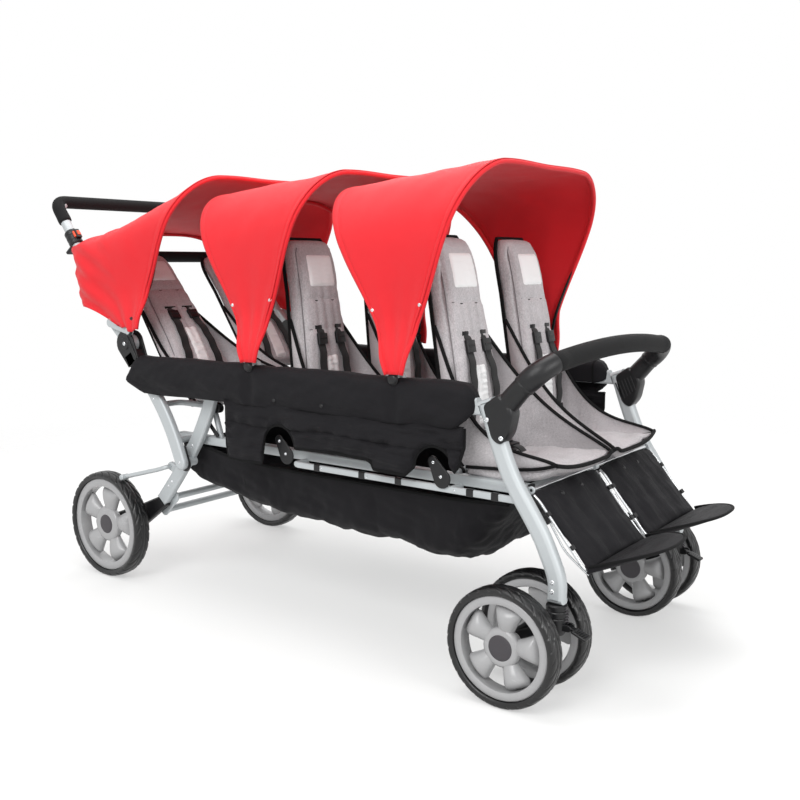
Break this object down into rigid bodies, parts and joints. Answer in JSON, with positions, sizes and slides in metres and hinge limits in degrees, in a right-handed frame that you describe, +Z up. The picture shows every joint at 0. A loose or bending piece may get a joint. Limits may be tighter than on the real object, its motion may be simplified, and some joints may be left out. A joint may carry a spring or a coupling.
{
  "type": "multi seat daycare stroller",
  "caption": "Long push stroller with rows of paired padded seats, folding sun canopies, twin front casters, large rear wheels, a folding handle and a slung basket.",
  "frame": {"origin": "middle of the overall box, on the floor", "axes": "+X towards the front of the stroller, +Y to its left side, +Z up"},
  "size_m": [1.7996, 0.826, 1.1465],
  "materials": {
    "silver_paint": "satin silver powder coat",
    "black_plastic": "fine satin moulding",
    "black_foam": "soft matt foam skin",
    "black_cloth": "plain weave with bound edges",
    "red_cloth": "plain weave, light sheen",
    "grey_cloth": "heather weave, padded",
    "tyre": "matt solid tyre",
    "rim_plastic": "grey moulding",
    "orange_plastic": "smooth"
  },
  "bodies": {
    "frame": {"upper_rail_right": "silver_paint", "upper_rail_left": "silver_paint", "front_leg_right": "silver_paint", "front_leg_left": "silver_paint", "side_cover_right": "black_cloth", "side_cover_left": "black_cloth", "bumper_bracket_right": "black_plastic", "bumper_bracket_left": "black_plastic", "hinge_housing_right": "black_plastic", "hinge_housing_left": "black_plastic", "lower_push_tube_right": "silver_paint", "lower_push_tube_left": "silver_paint", "seat_frame": "silver_paint", "basket": "black_cloth", "seat_pan_rear": "grey_cloth", "seat_pan_middle": "grey_cloth", "seat_pan_front": "grey_cloth", "canopy_middle": "red_cloth", "canopy_front": "red_cloth"},
    "rear_legs": {"rear_leg_right": "silver_paint", "rear_leg_left": "silver_paint", "axle_bracket_right": "black_plastic", "axle_bracket_left": "black_plastic", "rear_cross_frame": "silver_paint"},
    "brake": {"brake_bar": "silver_paint"},
    "handle": {"handle_tube": "silver_paint", "handle_grip": "black_foam", "handle_cross_bar": "black_foam", "canopy_rear": "red_cloth"},
    "bumper": {"bumper_bar": "black_foam"},
    "button": {"release_button": "orange_plastic"},
    "rear_wheel_right": {"rear_tyre_right": "tyre", "rear_rim_right": "rim_plastic"},
    "caster_right": {"caster_fork_right": "black_plastic"},
    "pedal_right": {"caster_pedal_right": "black_plastic"},
    "front_wheel_inner_right": {"front_tyre_inner_right": "tyre", "front_rim_inner_right": "rim_plastic"},
    "front_wheel_outer_right": {"front_tyre_outer_right": "tyre", "front_rim_outer_right": "rim_plastic"},
    "cuff_right": {"release_cuff_right": "black_plastic"},
    "seat_back_rear_right": {"seat_back_rear_right": "grey_cloth"},
    "seat_back_middle_right": {"seat_back_middle_right": "grey_cloth"},
    "seat_back_front_right": {"seat_back_front_right": "grey_cloth"},
    "footrest_right": {"footrest_right": "black_cloth"},
    "rear_wheel_left": {"rear_tyre_left": "tyre", "rear_rim_left": "rim_plastic"},
    "caster_left": {"caster_fork_left": "black_plastic"},
    "pedal_left": {"caster_pedal_left": "black_plastic"},
    "front_wheel_inner_left": {"front_tyre_inner_left": "tyre", "front_rim_inner_left": "rim_plastic"},
    "front_wheel_outer_left": {"front_tyre_outer_left": "tyre", "front_rim_outer_left": "rim_plastic"},
    "cuff_left": {"release_cuff_left": "black_plastic"},
    "seat_back_rear_left": {"seat_back_rear_left": "grey_cloth"},
    "seat_back_middle_left": {"seat_back_middle_left": "grey_cloth"},
    "seat_back_front_left": {"seat_back_front_left": "grey_cloth"},
    "footrest_left": {"footrest_left": "black_cloth"},
    "canopy_bow_middle": {"canopy_bow_middle": "black_plastic"},
    "canopy_bow_front": {"canopy_bow_front": "black_plastic"},
    "canopy_bow_rear": {"canopy_bow_rear": "black_plastic"}
  },
  "joints": [
    {"name": "rear_leg_fold", "type": "hinge", "parent": "frame", "child": "rear_legs", "pos_m": [-0.28586, 0, 0.592], "axis": [0, -1, 0], "range_deg": [0, 80], "deforming": ["basket"]},
    {"name": "handle_fold", "type": "hinge", "parent": "frame", "child": "handle", "pos_m": [-0.56986, 0, 0.676], "axis": [0, -1, 0], "range_deg": [0, 85]},
    {"name": "brake_lift", "type": "hinge", "parent": "rear_legs", "child": "brake", "pos_m": [-0.46087, 0, 0.34], "axis": [0, 1, 0], "range_deg": [0, 15]},
    {"name": "rear_wheel_spin_right", "type": "hinge", "parent": "rear_legs", "child": "rear_wheel_right", "pos_m": [-0.68586, -0.33, 0.15144], "axis": [0, 1, 0], "continuous": true},
    {"name": "caster_swivel_right", "type": "hinge", "parent": "frame", "child": "caster_right", "pos_m": [0.74213, -0.324, 0.2], "axis": [0, 0, 1], "continuous": true},
    {"name": "caster_pedal_press_right", "type": "hinge", "parent": "caster_right", "child": "pedal_right", "pos_m": [0.77214, -0.324, 0.171], "axis": [0, 1, 0], "range_deg": [0, 20]},
    {"name": "front_wheel_spin_inner_right", "type": "hinge", "parent": "caster_right", "child": "front_wheel_inner_right", "pos_m": [0.65814, -0.257, 0.12591], "axis": [0, 1, 0], "continuous": true},
    {"name": "front_wheel_spin_outer_right", "type": "hinge", "parent": "caster_right", "child": "front_wheel_outer_right", "pos_m": [0.65814, -0.391, 0.12591], "axis": [0, 1, 0], "continuous": true},
    {"name": "release_cuff_slide_right", "type": "slide", "parent": "handle", "child": "cuff_right", "axis": [-0.6008, 0, 0.7994], "range_m": [0, 0.02], "stiffness_N_per_m": 300, "springref_m": -0.02},
    {"name": "seat_back_fold_rear_right", "type": "hinge", "parent": "frame", "child": "seat_back_rear_right", "pos_m": [-0.42386, -0.155, 0.515], "axis": [0, 1, 0], "range_deg": [0, 72]},
    {"name": "seat_back_fold_middle_right", "type": "hinge", "parent": "frame", "child": "seat_back_middle_right", "pos_m": [-0.00086, -0.155, 0.434], "axis": [0, 1, 0], "range_deg": [0, 44]},
    {"name": "seat_back_fold_front_right", "type": "hinge", "parent": "frame", "child": "seat_back_front_right", "pos_m": [0.45114, -0.155, 0.434], "axis": [0, 1, 0], "range_deg": [0, 46]},
    {"name": "footrest_lift_right", "type": "hinge", "parent": "frame", "child": "footrest_right", "pos_m": [0.66614, -0.156, 0.433], "axis": [0, -1, 0], "range_deg": [0, 46]},
    {"name": "rear_wheel_spin_left", "type": "hinge", "parent": "rear_legs", "child": "rear_wheel_left", "pos_m": [-0.68586, 0.33, 0.15144], "axis": [0, 1, 0], "continuous": true},
    {"name": "caster_swivel_left", "type": "hinge", "parent": "frame", "child": "caster_left", "pos_m": [0.74213, 0.324, 0.2], "axis": [0, 0, 1], "continuous": true},
    {"name": "caster_pedal_press_left", "type": "hinge", "parent": "caster_left", "child": "pedal_left", "pos_m": [0.77214, 0.324, 0.171], "axis": [0, 1, 0], "range_deg": [0, 20]},
    {"name": "front_wheel_spin_inner_left", "type": "hinge", "parent": "caster_left", "child": "front_wheel_inner_left", "pos_m": [0.65814, 0.257, 0.12591], "axis": [0, 1, 0], "continuous": true},
    {"name": "front_wheel_spin_outer_left", "type": "hinge", "parent": "caster_left", "child": "front_wheel_outer_left", "pos_m": [0.65814, 0.391, 0.12591], "axis": [0, 1, 0], "continuous": true},
    {"name": "release_cuff_slide_left", "type": "slide", "parent": "handle", "child": "cuff_left", "axis": [-0.6008, 0, 0.7994], "range_m": [0, 0.02], "stiffness_N_per_m": 300, "springref_m": -0.02},
    {"name": "seat_back_fold_rear_left", "type": "hinge", "parent": "frame", "child": "seat_back_rear_left", "pos_m": [-0.42386, 0.155, 0.515], "axis": [0, 1, 0], "range_deg": [0, 72]},
    {"name": "seat_back_fold_middle_left", "type": "hinge", "parent": "frame", "child": "seat_back_middle_left", "pos_m": [-0.00086, 0.155, 0.434], "axis": [0, 1, 0], "range_deg": [0, 44]},
    {"name": "seat_back_fold_front_left", "type": "hinge", "parent": "frame", "child": "seat_back_front_left", "pos_m": [0.45114, 0.155, 0.434], "axis": [0, 1, 0], "range_deg": [0, 46]},
    {"name": "footrest_lift_left", "type": "hinge", "parent": "frame", "child": "footrest_left", "pos_m": [0.66614, 0.156, 0.433], "axis": [0, -1, 0], "range_deg": [0, 46]},
    {"name": "bumper_pull", "type": "slide", "parent": "frame", "child": "bumper", "axis": [0.669, 0, 0.7433], "range_m": [0, 0.022]},
    {"name": "release_button_press", "type": "slide", "parent": "cuff_right", "child": "button", "axis": [-0.7994, 0, -0.6008], "range_m": [0, 0.0025], "stiffness_N_per_m": 400, "springref_m": -0.003},
    {"name": "canopy_fold_middle", "type": "hinge", "parent": "frame", "child": "canopy_bow_middle", "pos_m": [-0.09087, 0, 0.645], "axis": [0, -1, 0], "range_deg": [0, 48], "deforming": ["canopy_middle"]},
    {"name": "canopy_fold_front", "type": "hinge", "parent": "frame", "child": "canopy_bow_front", "pos_m": [0.34913, 0, 0.645], "axis": [0, -1, 0], "range_deg": [0, 48], "deforming": ["canopy_front"]},
    {"name": "canopy_fold_rear", "type": "hinge", "parent": "handle", "child": "canopy_bow_rear", "pos_m": [-0.54087, 0, 0.712], "axis": [0, -1, 0], "range_deg": [0, 60], "deforming": ["canopy_rear"]}
  ],
  "couplings": [
    {"joint": "rear_leg_fold", "follows": "handle_fold", "ratio": 0.94118}
  ]
}
